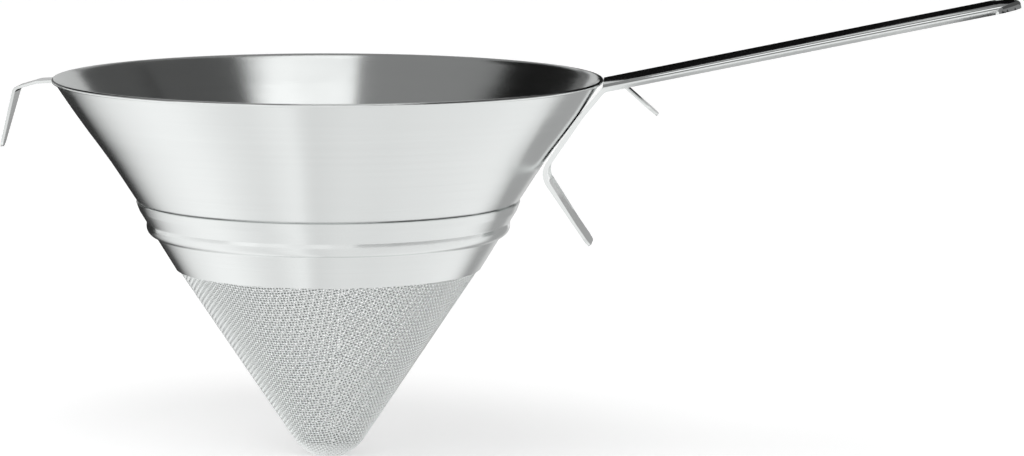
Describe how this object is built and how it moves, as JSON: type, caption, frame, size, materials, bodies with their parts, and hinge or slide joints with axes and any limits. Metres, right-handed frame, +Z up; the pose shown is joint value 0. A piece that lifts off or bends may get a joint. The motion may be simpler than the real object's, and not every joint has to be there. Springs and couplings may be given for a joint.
{
  "type": "fine mesh strainer",
  "caption": "Conical fine mesh strainer with a sheet steel hopper, a clamped wire mesh cone, a stamped handle and hooks for a pot rim.",
  "frame": {"origin": "centre of the mouth, on the cone's axis, level with the top of the rolled hem", "axes": "+Z up out of the mouth, along the cone's axis; +X towards the handle's end; +Y completes the frame"},
  "size_m": [0.3706, 0.2, 0.1709],
  "materials": {
    "hopper_steel": "satin, with fine marks around the axis",
    "wire_mesh": "woven stainless steel wire",
    "polished_steel": "polished"
  },
  "bodies": {
    "root": {"hopper": "hopper_steel", "clamp_collar": "hopper_steel", "mesh_cone": "wire_mesh", "handle": "polished_steel", "rest_hook": "polished_steel", "front_hook": "polished_steel"}
  },
  "joints": []
}
